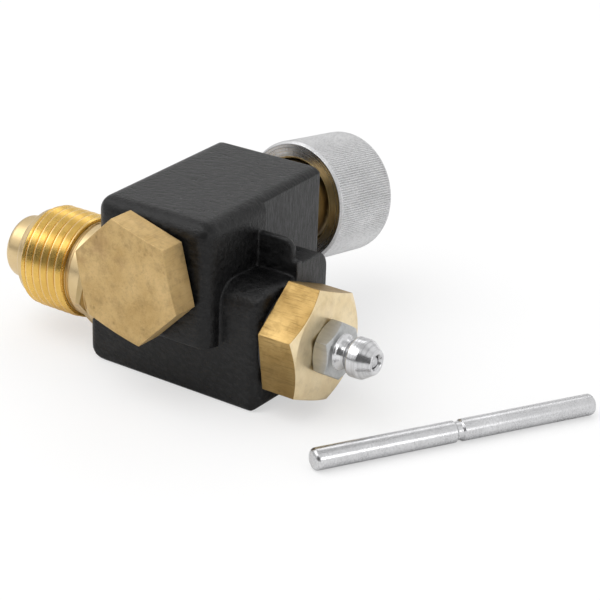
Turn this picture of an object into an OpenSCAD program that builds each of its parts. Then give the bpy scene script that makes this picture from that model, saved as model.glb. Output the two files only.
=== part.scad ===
// Flow control valve: a cast body of two crossing bars, a brass flare fitting, two brass hex plugs,
// a grease nipple, a loose steel swivel nut on a brass tail piece, and a sprung control spool inside.
// The valve bore runs along Y, the port bore along X. The origin is on the underside,
// below the point where the two bore axes cross in plan.

/* [Bores and ports] */
// Height of the port bore axis above the underside
port_axis_z = 11.1; // [10.8:0.1:11.6]
// Height of the valve bore axis above the underside
valve_axis_z = 20.1; // [19.7:0.1:20.8]
// Height of the flare port's axis above the port bore axis
flare_rise = 0.8; // [0:0.1:1]
// Thread diameter shared by the four ports
port_thread_d = 12; // [11.4:0.1:12.4]
// Radial clearance of a screwed-in thread
thread_clearance = 0.05; // [0.02:0.01:0.08]
// Thickness of the sealing washers
washer_t = 0.7; // [0.5:0.1:1]
// Width of the sealing washers' rings
washer_w = 2; // [1.5:0.1:2.4]
// Depth of the machined spot face round each port
spot_face_t = 0.05; // [0.05:0.01:0.15]
// Diameter of the drilled flow passages
passage_d = 2.5; // [2:0.1:2.8]
// Diameter of the blind port chambers
port_chamber_d = 6; // [5:0.1:6.2]
// Half the wall left between the two port chambers
port_wall_half = 3.5; // [3:0.1:4]

/* [Valve bar of the casting] */
// Left face, from the valve axis
bar_left = 10.6; // [10:0.1:11.2]
// Right face, from the valve axis
bar_right = 12; // [11.6:0.1:12.6]
// Front face, from the port axis
bar_front = 11.2; // [10.8:0.1:12]
// Back face, from the port axis
bar_back = 19.5; // [19.2:0.1:20.5]
// Underside, below the valve axis
bar_below = 10.4; // [9.8:0.1:10.8]
// Top at the front, above the valve axis
bar_above = 10.3; // [9.8:0.1:11]
// Rise of the top from front to back
bar_rise = 1.2; // [0:0.1:2]
// Radius of the long top edges and of the front face's upper and side edges
bar_edge_r = 2.4; // [1.6:0.1:3]

/* [Port bar of the casting] */
// Left end, from the valve axis
port_left = 14.3; // [13.8:0.1:15]
// Right end, from the valve axis
port_right = 19.6; // [19:0.1:20.5]
// Front face, from the port axis
port_front = 8; // [7.7:0.1:8.6]
// Rear face, from the port axis
port_rear = 10; // [9.6:0.1:10.8]
// Top, above the underside
port_top = 20.3; // [19.8:0.1:21]
// Radius of the long upper edges
port_top_r = 3.4; // [2.6:0.1:3.8]
// Radius of the upper edges of the two ends
port_end_r = 1.4; // [0.8:0.1:2]
// Radius of the upright front edges
port_side_r = 2.2; // [1.6:0.1:2.5]
// Radius of the lower front edge and of the lower edges of the two ends
port_low_r = 1.8; // [1:0.1:2.2]
// Radius of the upright rear edges and of the lower rear edge
port_heel_r = 1; // [0.6:0.1:1.4]

/* [Lug and rib of the casting] */
// Top of the machined lug
lug_top = 22.3; // [21.8:0.1:23]
// Front wall of the lug and of the rib, behind the port axis
lug_front = 1.7; // [1.3:0.1:2.2]
// Radius of the lug's upper rear corner
lug_corner_r = 3.2; // [2:0.1:4]
// Thickness of the thin rib left by the milled notch
rib_t = 1.1; // [0.8:0.1:1.5]
// Top of the rib
rib_top = 26.1; // [25:0.1:26.8]
// Distance of the rib's end from the lug's outer face
rib_setback = 0.9; // [0.5:0.1:1.4]
// Radius of the rib's outer corner
rib_corner_r = 2; // [1:0.1:2.5]
// Depth of the machined side pad
pad_t = 0.6; // [0.3:0.1:0.9]
// Front end of the pad, behind the port axis
pad_front = 3.9; // [3.8:0.1:5]

/* [Front plug] */
// Across flats of the hexagon
front_plug_af = 18; // [17.5:0.1:18.6]
// Height of the hexagon
front_plug_h = 5.7; // [5:0.1:6.5]
// Turn of the hexagon about its axis
front_plug_turn = 44.8; // [0:0.1:60]
// Length of its shank in the body
front_plug_shank = 6.5; // [5.5:0.1:7]
// Diameter of the recess in the shank's end
front_plug_recess_d = 7; // [5:0.1:8]
// Depth of that recess
front_plug_recess = 5; // [3:0.1:6]

/* [Side plug] */
// Across flats of the hexagon
side_plug_af = 17.4; // [17:0.1:18]
// Height of the hexagon
side_plug_h = 6.7; // [6.2:0.1:7.5]
// Turn of the hexagon about its axis
side_plug_turn = 8.8; // [0:0.1:60]
// Length of its shank in the body
side_plug_shank = 8.1; // [7.5:0.1:8.6]
// Diameter of the feed hole through the shank
side_plug_feed_d = 3; // [2:0.1:3.6]

/* [Grease nipple] */
// Thread diameter of the nipple
nipple_thread_d = 6.35; // [6.1:0.05:6.6]
// Length of the nipple's thread
nipple_thread_l = 6; // [5.5:0.1:6.5]
// Diameter of the passage through the thread
nipple_feed_d = 2; // [1.6:0.1:2.4]
// Across flats of the nipple's hexagon
nipple_af = 8.5; // [8:0.1:9]
// Height of the nipple's hexagon
nipple_hex_h = 2.9; // [2.6:0.1:3.3]
// Turn of the nipple's hexagon about its axis
nipple_turn = 58; // [0:1:60]
// Diameter of the collar above the hexagon
nipple_collar_d = 6.4; // [6.1:0.1:6.8]
// Length of the collar
nipple_collar_l = 1.3; // [1:0.1:1.6]
// Diameter of the neck
nipple_neck_d = 4.7; // [4.4:0.1:5.2]
// Length of the neck
nipple_neck_l = 1; // [0.8:0.1:1.3]
// Diameter of the head
nipple_head_d = 6.5; // [6.3:0.1:6.7]
// Length of the rear cone of the head
nipple_rear_cone = 0.8; // [0.6:0.1:1]
// Length of the straight band of the head
nipple_band = 1.3; // [1:0.1:1.6]
// Length of the front cone of the head
nipple_front_cone = 1.9; // [1.6:0.1:2.2]
// Diameter of the flat tip
nipple_tip_d = 4; // [3.6:0.1:4.4]
// Diameter of the ball's bore
nipple_bore_d = 2.6; // [2.55:0.05:2.8]
// Depth of the ball's bore below the tip
nipple_bore_l = 7.5; // [7:0.1:8]
// Diameter of the ball
nipple_ball_d = 2.4; // [2.3:0.05:2.45]
// Diameter of the mouth in the tip
nipple_mouth_d = 2; // [1.8:0.05:2.1]
// Length of the mouth
nipple_mouth_l = 0.6; // [0.5:0.05:0.7]
// Wire diameter of the ball's spring
spring_wire_d = 0.26; // [0.2:0.01:0.28]
// Curls of the ball's spring
spring_curls = 6; // [4:1:7]

/* [Flare fitting] */
// Across flats of the hexagon
flare_af = 18; // [17.6:0.1:18.6]
// Height of the hexagon
flare_hex_h = 1.4; // [1.2:0.1:2]
// Turn of the hexagon about its axis
flare_turn = 20; // [0:1:60]
// Length of its shank in the body
flare_shank = 6.2; // [5.5:0.1:6.4]
// Diameter of the smooth neck
flare_neck_d = 16.3; // [15.8:0.1:16.6]
// Length of the smooth neck
flare_neck_l = 3.8; // [3.2:0.1:4.4]
// Outer diameter of the flare thread
flare_thread_d = 17.6; // [17.2:0.1:18]
// Length of the flare thread
flare_thread_l = 9.2; // [8.6:0.1:9.8]
// Chamfer at both ends of the flare thread
flare_thread_lead = 0.8; // [0.5:0.1:1]
// Diameter of the step beyond the thread
flare_step_d = 14; // [13.4:0.1:14.6]
// Length of the step
flare_step_l = 2.4; // [2:0.1:2.8]
// Diameter of the nose
flare_nose_d = 11; // [10.6:0.1:11.4]
// Length of the nose
flare_nose_l = 4.2; // [3.6:0.1:4.6]
// Radius of the nose's rounded edge
flare_nose_r = 1.2; // [0.6:0.1:1.4]
// Diameter of the through bore
flare_bore_d = 7; // [6:0.1:7.4]

/* [Tail piece and swivel nut] */
// Length of the tail's shank in the body
tail_shank = 9.5; // [9.2:0.1:9.8]
// Diameter of the tail's neck
tail_neck_d = 14.3; // [13.9:0.1:14.6]
// Diameter of the tail's bore
tail_bore_d = 7; // [6:0.1:7.4]
// Across the two spanner flats beside the body
tail_flats = 12.6; // [12.2:0.1:13.2]
// Length of those flats
tail_flats_l = 3.4; // [2.6:0.1:4]
// Diameter of the flange that holds the nut
tail_flange_d = 16.6; // [16.2:0.1:17]
// Thickness of that flange
tail_flange_t = 2; // [1.6:0.1:2.2]
// Thickness of the sealing gasket on the flange
gasket_t = 1.2; // [1:0.1:1.5]
// Outer diameter of the swivel nut
nut_d = 21.3; // [20.9:0.1:21.8]
// Length of the swivel nut
nut_l = 14.9; // [14:0.1:15.5]
// Distance of the nut's front from the body's back face
nut_gap = 9.1; // [8.6:0.1:9.6]
// Droop of the loose nut below the valve axis
nut_droop = 6.9; // [0:0.1:7.2]
// Lean of the loose nut to the right of the valve axis
nut_lean = 4.5; // [0:0.1:4.8]
// Gap between the tail's neck and the nut's lip
nut_lip_gap = 0.55; // [0.5:0.05:0.65]
// Thickness of the nut's lip
nut_lip_t = 2.2; // [1.8:0.1:2.2]
// Core diameter of the nut's thread
nut_thread_d = 17.8; // [17.6:0.1:18]
// Length of the nut's thread
nut_thread_l = 6.4; // [5.6:0.1:6.6]
// Diameter of the space between the lip and the thread
nut_relief_d = 18.9; // [18.7:0.1:19.1]
// Chamfer of the nut's rims
nut_chamfer = 0.6; // [0.4:0.1:0.8]

/* [Flow control cartridge] */
// Outer diameter of the sleeve
sleeve_d = 10; // [9.6:0.1:10.4]
// Inner diameter of the sleeve
sleeve_bore_d = 7.6; // [7.4:0.1:7.8]
// Thickness of the wall that the sleeve stands against
sleeve_wall_t = 1.05; // [0.9:0.05:1.3]
// Hole through that wall, for the spring
sleeve_wall_hole_d = 6.4; // [6.2:0.1:6.6]
// Length of the sleeve
sleeve_l = 10.3; // [10:0.1:10.5]
// Length of the spool
spool_l = 7.45; // [7.2:0.05:7.6]
// Diameter of the spool's spring pocket
spool_pocket_d = 5.8; // [5.6:0.1:6]
// Thickness of the spool's spring shoulder
spool_shoulder_t = 1.3; // [1:0.1:1.5]
// Diameter of the feed hole behind the orifice
spool_feed_d = 3.4; // [3:0.1:3.8]
// Diameter of the orifice disc
orifice_disc_d = 5.2; // [4.8:0.1:5.6]
// Thickness of the orifice disc
orifice_disc_t = 0.95; // [0.8:0.05:1.1]
// Diameter of the orifice
orifice_d = 1.2; // [0.8:0.1:1.6]
// Thickness of the stop ring
stop_ring_t = 1; // [0.8:0.1:1.2]
// Inner diameter of the stop ring
stop_ring_bore_d = 6; // [5.8:0.1:6.4]
// Thickness of the spring seat's disc
spring_seat_t = 1; // [0.8:0.1:1.2]
// Diameter of the spring seat's spigot
spring_spigot_d = 3.2; // [2.8:0.1:3.4]
// Length of the spring seat's spigot
spring_spigot_l = 2.2; // [1.6:0.1:2.6]
// Mean diameter of the control spring
control_spring_d = 4.4; // [4.3:0.1:4.6]
// Wire diameter of the control spring
control_wire_d = 0.6; // [0.5:0.05:0.65]
// Curls of the control spring
control_curls = 9; // [8:1:10]
// Running clearance on a radius
running_fit = 0.05; // [0.03:0.01:0.08]

/* [Grooved pin] */
// Diameter of the loose pin
pin_d = 3.5; // [3.2:0.1:3.8]
// Length of the loose pin
pin_l = 49.3; // [46:0.1:54]
// Width of the groove at its middle
pin_groove_w = 1.4; // [1:0.1:1.8]
// Depth of that groove
pin_groove_t = 0.3; // [0.2:0.05:0.4]
// Radius of its rounded ends
pin_end_r = 0.8; // [0.4:0.1:1.2]
// Place of the pin's middle along X
pin_x = 48.5; // [46:0.1:52]
// Place of the pin's middle along Y
pin_y = 4.2; // [0:0.1:8]
// Heading of the pin, from the X axis
pin_heading = 60; // [45:1:75]

/* [Hidden] */

$fn = 64;
over = 1;

cast_black = [0.12, 0.12, 0.13];
brass = [0.80, 0.66, 0.38];
steel = [0.78, 0.78, 0.79];
seal_black = [0.06, 0.06, 0.06];

// Seats of the four ports, at the bottom of the spot faces
front_seat_y = spot_face_t - bar_front;
back_seat_y = bar_back - spot_face_t;
right_seat_x = port_right - spot_face_t;
left_seat_x = spot_face_t - port_left;
port_r = port_thread_d / 2;
port_bore_r = port_r + thread_clearance;
washer_inner_r = port_r + 2 * thread_clearance;
washer_outer_r = washer_inner_r + washer_w;
spot_face_r = washer_outer_r + 1.2;
bore_end_gap = 0.5;
thread_lead = 0.6;

// Casting
bar_low_z = valve_axis_z - bar_below;
bar_top_z = valve_axis_z + bar_above;
bar_slope = atan(bar_rise / (bar_front + bar_back));
lug_root_x = bar_right - 3;
lug_foot_z = port_side_r + 1;
rib_foot_z = port_top - port_top_r - 1;
passage_in_x = 6;
passage_out_x = -5.5;
front_passage_to = [3.5, -5, valve_axis_z - 3.1];
outlet_passage_to = [-1.5, 0, valve_axis_z - 2.5];

// Stations along the valve bore
tail_front_y = back_seat_y - tail_shank;
neck_y = back_seat_y + washer_t;
tail_bore_r = tail_bore_d / 2;
stop_ring_end_y = tail_front_y - running_fit;
stop_ring_y = stop_ring_end_y - stop_ring_t;
sleeve_y = stop_ring_y - sleeve_l;
front_bore_end_y = sleeve_y - sleeve_wall_t;
sleeve_fit = 0.02;
spool_r = sleeve_bore_d / 2 - running_fit;
spool_end_y = stop_ring_y - running_fit;
spool_y = spool_end_y - spool_l;
disc_y = spool_end_y - orifice_disc_t;
shoulder_y = disc_y - spool_shoulder_t;
disc_fit = 0.02;
recess_floor_y = front_seat_y + front_plug_shank - front_plug_recess;
control_wire_r = control_wire_d / 2;
control_spring_y = recess_floor_y + spring_seat_t + control_wire_r;
control_spring_l = shoulder_y - control_wire_r - control_spring_y;

// Swivel nut, leaning on the tail's neck
nut_y = bar_back + nut_gap;
nut_lip_r = tail_neck_d / 2 + nut_lip_gap;
nut_tilt = acos(cos(nut_droop) * cos(nut_lean));
flange_gap = 0.1;
flange_y = nut_y + (nut_lip_t + tail_flange_d / 2 * sin(nut_tilt)) / cos(nut_tilt) + flange_gap;
flange_end_y = flange_y + tail_flange_t;
gasket_margin = 0.4;

// Grease nipple, along X
nipple_x = right_seat_x + washer_t + side_plug_h;
nipple_collar_x = nipple_x + nipple_hex_h;
nipple_neck_x = nipple_collar_x + nipple_collar_l;
nipple_head_x = nipple_neck_x + nipple_neck_l;
nipple_band_x = nipple_head_x + nipple_rear_cone;
nipple_cone_x = nipple_band_x + nipple_band;
nipple_tip_x = nipple_cone_x + nipple_front_cone;
nipple_bore_x = nipple_tip_x - nipple_bore_l;
nipple_hole_l = nipple_thread_l + 0.3;
ball_r = nipple_ball_d / 2;
ball_fit = 0.05;
ball_x = nipple_tip_x - nipple_mouth_l - sqrt(pow(ball_r + ball_fit, 2) - pow(nipple_mouth_d / 2, 2));
wire_r = spring_wire_d / 2;
spring_r = nipple_bore_d / 2 - wire_r - 2 * ball_fit;
spring_front_x = ball_x - sqrt(pow(ball_r + wire_r + ball_fit, 2) - pow(spring_r, 2));
spring_rear_x = nipple_bore_x + wire_r + ball_fit;
rings_per_curl = 8;
wire_sides = 6;

// Flare fitting, along -X
flare_hex_x = left_seat_x - washer_t;
flare_notch = 0.6;
flare_edge = 0.4;

// Turns a shape built on Z onto the valve bore, pointing to +Y
module on_valve_axis(y) {
    translate([0, y, valve_axis_z]) rotate([-90, 0, 0]) children();
}

// Turns a shape built on Z onto the port bore, pointing to +X
module on_port_axis(x) {
    translate([x, 0, port_axis_z]) rotate([0, 90, 0]) children();
}

// Turns a shape built on Z onto the flare port's axis, pointing to -X
module on_flare_axis(x) {
    translate([x, 0, port_axis_z + flare_rise]) rotate([0, -90, 0]) children();
}

// A round shape from a half profile of [radius, station] points
module turned(profile) {
    rotate_extrude() polygon(profile);
}

// A drilling from one point to another
module drilling(from, to, d) {
    way = to - from;
    translate(from)
        rotate([0, acos(way.z / norm(way)), atan2(way.y, way.x)])
            cylinder(d = d, h = norm(way));
}

// A hexagon with its upper corners turned off at 30 degrees
module hex_head(af, h, turn) {
    corner_r = af / 2 / cos(30);
    chamfer_h = (corner_r - af / 2) * tan(30);
    intersection() {
        rotate(turn) cylinder(r = corner_r, h = h, $fn = 6);
        turned([[0, 0], [corner_r + over, 0], [corner_r + over, h - chamfer_h - over * tan(30)],
            [af / 2, h], [0, h]]);
    }
}

// A shank hanging below Z = 0, with a lead chamfer at its end
module shank(d, l) {
    turned([[0, -l], [d / 2 - thread_lead, -l], [d / 2, thread_lead - l], [d / 2, 0], [0, 0]]);
}

// A port, cut down from a cast face at Z = 0
module port_cut(depth) {
    translate([0, 0, -depth]) cylinder(r = port_bore_r, h = depth + over);
    translate([0, 0, -spot_face_t]) cylinder(r = spot_face_r, h = spot_face_t + over);
}

module sealing_washer() {
    difference() {
        cylinder(r = washer_outer_r, h = washer_t);
        translate([0, 0, -over]) cylinder(r = washer_inner_r, h = washer_t + 2 * over);
    }
}

// One unbroken wire wound round Z from Z = 0, as rings of points
function coil_point(r, rise, turns) = [r * cos(360 * turns), r * sin(360 * turns), turns * rise];
function coil_way(r, rise, turns) =
    let (climb = rise / (2 * PI), l = norm([r, climb]))
    [-sin(360 * turns) * r / l, cos(360 * turns) * r / l, climb / l];
function coil_ring(r, rise, wire, turns) =
    let (out = [cos(360 * turns), sin(360 * turns), 0], up = cross(out, coil_way(r, rise, turns)))
    [for (i = [0:wire_sides - 1])
        let (a = 360 * i / wire_sides)
        coil_point(r, rise, turns) + wire * (cos(a) * out + sin(a) * up)];

module coil_spring(r, wire, l, curls) {
    rise = l / curls;
    last = curls * rings_per_curl;
    points = [for (k = [0:last]) each coil_ring(r, rise, wire, k / rings_per_curl)];
    sides = [for (k = [0:last - 1], i = [0:wire_sides - 1])
        let (a = k * wire_sides + i, b = k * wire_sides + (i + 1) % wire_sides)
        each [[a, a + wire_sides, b], [b, a + wire_sides, b + wire_sides]]];
    end = last * wire_sides;
    foot = [for (i = [1:wire_sides - 2]) [0, i, i + 1]];
    head = [for (i = [1:wire_sides - 2]) [end, end + i + 1, end + i]];
    centres = [for (k = [0:last]) coil_point(r, rise, k / rings_per_curl)];
    gaps = [for (k = [0:last], j = [k + rings_per_curl / 2:1:min(last, k + 2 * rings_per_curl)])
        norm(centres[k] - centres[j]) - 2 * wire];
    echo(least_gap_between_curls = min(gaps));
    polyhedron(points, concat(sides, foot, head));
}

// A rectangle with a radius for each corner: low left, low right, high right, high left
module soft_rect(low, high, radii) {
    corners = [low, [high.x, low.y], high, [low.x, high.y]];
    ways = [[1, 1], [-1, 1], [-1, -1], [1, -1]];
    difference() {
        translate(low) square(high - low);
        for (i = [0:3]) {
            r = radii[i];
            if (r > 0) translate([corners[i].x + ways[i].x * r, corners[i].y + ways[i].y * r]) difference() {
                translate([ways[i].x < 0 ? 0 : -2 * r, ways[i].y < 0 ? 0 : -2 * r]) square(2 * r);
                circle(r);
            }
        }
    }
}

// Bar along Y with a rising top: its long top edges, its upright edges, then its front top edge
module valve_bar() {
    r = bar_edge_r;
    long = bar_front + bar_back;
    tall = bar_below + bar_above + bar_rise;
    difference() {
        intersection() {
            translate([0, -bar_front, bar_top_z]) rotate([90 + bar_slope, 0, 0])
                translate([0, 0, -long - tall]) linear_extrude(long + 2 * tall)
                soft_rect([-bar_left, -2 * tall], [bar_right, 0], [0, 0, r, r]);
            translate([0, 0, bar_low_z]) linear_extrude(2 * tall)
                soft_rect([-bar_left, -bar_front], [bar_right, bar_back], [r, r, 0, 0]);
        }
        translate([-2 * bar_right, 0, 0]) rotate([90, 0, 90]) linear_extrude(4 * bar_right)
            translate([r - bar_front, bar_top_z - r]) difference() {
                translate([-2 * r, 0]) square(2 * r);
                circle(r);
            }
    }
}

// Bar along X on a flat underside: its long edges, its upright edges and the edges of its ends
module port_bar() {
    intersection() {
        translate([-port_left, 0, 0]) rotate([90, 0, 90]) linear_extrude(port_left + port_right)
            soft_rect([-port_front, 0], [port_rear, port_top],
                [port_low_r, port_heel_r, port_top_r, port_top_r]);
        linear_extrude(port_top)
            soft_rect([-port_left, -port_front], [port_right, port_rear],
                [port_side_r, port_side_r, port_heel_r, port_heel_r]);
        translate([0, port_rear, 0]) rotate([90, 0, 0]) linear_extrude(port_front + port_rear)
            soft_rect([-port_left, 0], [port_right, port_top],
                [port_low_r, port_low_r, port_end_r, port_end_r]);
    }
}

module lug() {
    translate([lug_root_x, 0, 0]) rotate([90, 0, 90]) linear_extrude(port_right - lug_root_x) {
        difference() {
            translate([lug_front, lug_foot_z]) square([port_rear - lug_front, lug_top - lug_foot_z]);
            translate([port_rear - lug_corner_r, lug_top - lug_corner_r]) square(lug_corner_r + over);
        }
        translate([port_rear - lug_corner_r, lug_top - lug_corner_r]) circle(lug_corner_r);
    }
}

module rib() {
    rib_end_x = port_right - rib_setback;
    translate([0, lug_front + rib_t, 0]) rotate([90, 0, 0]) linear_extrude(rib_t) {
        difference() {
            translate([lug_root_x, rib_foot_z]) square([rib_end_x - lug_root_x, rib_top - rib_foot_z]);
            translate([rib_end_x - rib_corner_r, rib_top - rib_corner_r]) square(rib_corner_r + over);
        }
        translate([rib_end_x - rib_corner_r, rib_top - rib_corner_r]) circle(rib_corner_r);
    }
}

// Space milled off the right face: above the lug, and all the way down behind it
module pad_cut() {
    tall = 2 * bar_top_z;
    translate([bar_right - pad_t, pad_front, lug_top]) cube([pad_t + over, bar_back, tall]);
    translate([bar_right - pad_t, port_rear, -over]) cube([pad_t + over, bar_back, tall]);
}

// Drilled through the body and the sleeve in one go
module outlet_drilling() {
    drilling([passage_out_x, 0, port_axis_z + flare_rise], outlet_passage_to, passage_d);
}

module valve_body() {
    color(cast_black) difference() {
        union() {
            valve_bar();
            port_bar();
            lug();
            rib();
        }
        pad_cut();
        on_valve_axis(-bar_front) rotate([180, 0, 0]) port_cut(bar_front + front_bore_end_y);
        on_valve_axis(front_bore_end_y - over) cylinder(d = sleeve_wall_hole_d, h = sleeve_wall_t + 2 * over);
        on_valve_axis(sleeve_y) cylinder(r = sleeve_d / 2 + sleeve_fit, h = tail_front_y - sleeve_y + over);
        on_valve_axis(bar_back) port_cut(bar_back - tail_front_y);
        on_port_axis(port_right) port_cut(spot_face_t + side_plug_shank + bore_end_gap);
        on_port_axis(port_wall_half) cylinder(d = port_chamber_d, h = port_right - port_wall_half);
        on_flare_axis(-port_left) port_cut(spot_face_t + flare_shank + bore_end_gap);
        on_flare_axis(-port_wall_half) cylinder(d = port_chamber_d, h = port_left - port_wall_half);
        drilling([passage_in_x, 0, port_axis_z], front_passage_to, passage_d);
        outlet_drilling();
    }
}

module flare_fitting() {
    thread_r = flare_thread_d / 2;
    neck_r = flare_neck_d / 2;
    step_r = flare_step_d / 2;
    nose_r = flare_nose_d / 2;
    lead = flare_thread_lead;
    // Stations are measured outward from the hexagon's base
    neck_z = flare_hex_h;
    thread_z = neck_z + flare_neck_l;
    step_z = thread_z + flare_thread_l;
    nose_z = step_z + flare_step_l;
    tip_z = nose_z + flare_nose_l;
    nose_arc = [for (a = [0:10:90])
        [nose_r - flare_nose_r + flare_nose_r * cos(a), tip_z - flare_nose_r + flare_nose_r * sin(a)]];
    color(brass) on_flare_axis(flare_hex_x) difference() {
        union() {
            hex_head(flare_af, flare_hex_h, flare_turn);
            shank(port_thread_d, flare_shank + washer_t);
            turned(concat(
                [[0, 0], [neck_r, 0], [neck_r, thread_z], [thread_r - lead, thread_z],
                    [thread_r, thread_z + lead], [thread_r, step_z - lead], [thread_r - lead, step_z],
                    [step_r, step_z], [step_r, nose_z - flare_edge], [step_r - flare_edge, nose_z],
                    [nose_r, nose_z], [nose_r - flare_notch, nose_z + flare_notch / 2],
                    [nose_r, nose_z + flare_notch]],
                nose_arc, [[0, tip_z]]));
        }
        translate([0, 0, -flare_shank - washer_t - over])
            cylinder(d = flare_bore_d, h = flare_shank + washer_t + tip_z + 2 * over);
    }
}

module flare_washer() {
    color(seal_black) on_flare_axis(left_seat_x) sealing_washer();
}

module front_plug() {
    recess_z = -front_plug_shank - washer_t;
    color(brass) on_valve_axis(front_seat_y - washer_t) rotate([180, 0, 0]) difference() {
        union() {
            hex_head(front_plug_af, front_plug_h, front_plug_turn);
            shank(port_thread_d, front_plug_shank + washer_t);
        }
        translate([0, 0, recess_z - over]) cylinder(d = front_plug_recess_d, h = front_plug_recess + over);
    }
}

module front_plug_washer() {
    color(seal_black) on_valve_axis(front_seat_y - washer_t) sealing_washer();
}

module side_plug() {
    shank_l = side_plug_shank + washer_t;
    color(brass) on_port_axis(right_seat_x + washer_t) difference() {
        union() {
            hex_head(side_plug_af, side_plug_h, side_plug_turn);
            shank(port_thread_d, shank_l);
        }
        translate([0, 0, side_plug_h - nipple_hole_l])
            cylinder(r = nipple_thread_d / 2 + thread_clearance, h = nipple_hole_l + over);
        translate([0, 0, -shank_l - over]) cylinder(d = side_plug_feed_d, h = shank_l + side_plug_h);
    }
}

module side_plug_washer() {
    color(seal_black) on_port_axis(right_seat_x) sealing_washer();
}

module grease_nipple() {
    // Stations are measured outward from the hexagon's base
    collar_z = nipple_collar_x - nipple_x;
    neck_z = nipple_neck_x - nipple_x;
    head_z = nipple_head_x - nipple_x;
    band_z = nipple_band_x - nipple_x;
    cone_z = nipple_cone_x - nipple_x;
    tip_z = nipple_tip_x - nipple_x;
    bore_z = nipple_bore_x - nipple_x;
    color(steel) on_port_axis(nipple_x) difference() {
        union() {
            hex_head(nipple_af, nipple_hex_h, nipple_turn);
            shank(nipple_thread_d, nipple_thread_l);
            turned([[0, 0], [nipple_neck_d / 2, 0], [nipple_neck_d / 2, collar_z - over],
                [nipple_collar_d / 2, collar_z - over], [nipple_collar_d / 2, neck_z],
                [nipple_neck_d / 2, neck_z], [nipple_neck_d / 2, head_z], [nipple_head_d / 2, band_z],
                [nipple_head_d / 2, cone_z], [nipple_tip_d / 2, tip_z], [0, tip_z]]);
        }
        translate([0, 0, bore_z]) cylinder(d = nipple_bore_d, h = nipple_bore_l - nipple_mouth_l);
        translate([0, 0, bore_z]) cylinder(d = nipple_mouth_d, h = nipple_bore_l + over);
        translate([0, 0, -nipple_thread_l - over])
            cylinder(d = nipple_feed_d, h = nipple_thread_l + bore_z + 2 * over);
    }
}

module nipple_ball() {
    color(steel) on_port_axis(ball_x) sphere(ball_r);
}

module nipple_spring() {
    color(steel) on_port_axis(spring_rear_x)
        coil_spring(spring_r, wire_r, spring_front_x - spring_rear_x, spring_curls);
}

module tail_piece() {
    // Stations are measured along the valve bore from the neck's seat
    shank_l = tail_shank + washer_t;
    flange_z = flange_y - neck_y;
    end_z = flange_end_y - neck_y;
    neck_r = tail_neck_d / 2;
    color(brass) on_valve_axis(neck_y) difference() {
        union() {
            shank(port_thread_d, shank_l);
            turned([[0, 0], [neck_r, 0], [neck_r, flange_z], [tail_flange_d / 2, flange_z],
                [tail_flange_d / 2, end_z], [0, end_z]]);
        }
        translate([0, 0, -shank_l - over]) cylinder(r = tail_bore_r, h = shank_l + end_z + 2 * over);
        for (side = [0, 180])
            rotate(side) translate([-tail_neck_d, tail_flats / 2, -over])
                cube([2 * tail_neck_d, tail_neck_d, tail_flats_l + over]);
    }
}

module tail_washer() {
    color(seal_black) on_valve_axis(back_seat_y) sealing_washer();
}

module tail_gasket() {
    color(seal_black) on_valve_axis(flange_end_y) difference() {
        cylinder(d = tail_flange_d - 2 * gasket_margin, h = gasket_t);
        translate([0, 0, -over]) cylinder(r = tail_bore_r + gasket_margin, h = gasket_t + 2 * over);
    }
}

// Hangs askew on the tail's neck, and turns about its own axis
module swivel_nut() {
    r = nut_d / 2;
    thread_z = nut_l - nut_thread_l;
    thread_r = nut_thread_d / 2;
    relief_r = nut_relief_d / 2;
    color(steel) translate([0, nut_y, valve_axis_z]) rotate([-nut_droop, 0, -nut_lean]) rotate([-90, 0, 0])
        turned([[nut_lip_r, 0], [r - nut_chamfer, 0], [r, nut_chamfer], [r, nut_l - nut_chamfer],
            [r - nut_chamfer, nut_l], [thread_r + nut_chamfer, nut_l], [thread_r, nut_l - nut_chamfer],
            [thread_r, thread_z], [relief_r, thread_z - (relief_r - thread_r)], [relief_r, nut_lip_t],
            [nut_lip_r, nut_lip_t]]);
}

module control_sleeve() {
    color(steel) difference() {
        on_valve_axis(sleeve_y) turned([[sleeve_bore_d / 2, 0], [sleeve_d / 2, 0], [sleeve_d / 2, sleeve_l],
            [sleeve_bore_d / 2, sleeve_l]]);
        outlet_drilling();
    }
}

module control_spool() {
    pocket_z = shoulder_y - spool_y;
    disc_z = disc_y - spool_y;
    disc_r = orifice_disc_d / 2 + disc_fit;
    color(steel) on_valve_axis(spool_y)
        turned([[spool_pocket_d / 2, 0], [spool_r, 0], [spool_r, spool_l], [disc_r, spool_l],
            [disc_r, disc_z], [spool_feed_d / 2, disc_z], [spool_feed_d / 2, pocket_z],
            [spool_pocket_d / 2, pocket_z]]);
}

module orifice_disc() {
    color(brass) on_valve_axis(disc_y)
        turned([[orifice_d / 2, 0], [orifice_disc_d / 2, 0], [orifice_disc_d / 2, orifice_disc_t],
            [orifice_d / 2, orifice_disc_t]]);
}

module stop_ring() {
    color(steel) on_valve_axis(stop_ring_y)
        turned([[stop_ring_bore_d / 2, 0], [sleeve_d / 2, 0], [sleeve_d / 2, stop_ring_t],
            [stop_ring_bore_d / 2, stop_ring_t]]);
}

module control_spring() {
    color(steel) on_valve_axis(control_spring_y)
        coil_spring(control_spring_d / 2, control_wire_r, control_spring_l, control_curls);
}

module spring_seat() {
    seat_r = front_plug_recess_d / 2 - thread_clearance;
    spigot_z = spring_seat_t + spring_spigot_l;
    color(brass) on_valve_axis(recess_floor_y)
        turned([[0, 0], [seat_r, 0], [seat_r, spring_seat_t], [spring_spigot_d / 2, spring_seat_t],
            [spring_spigot_d / 2, spigot_z], [0, spigot_z]]);
}

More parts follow.
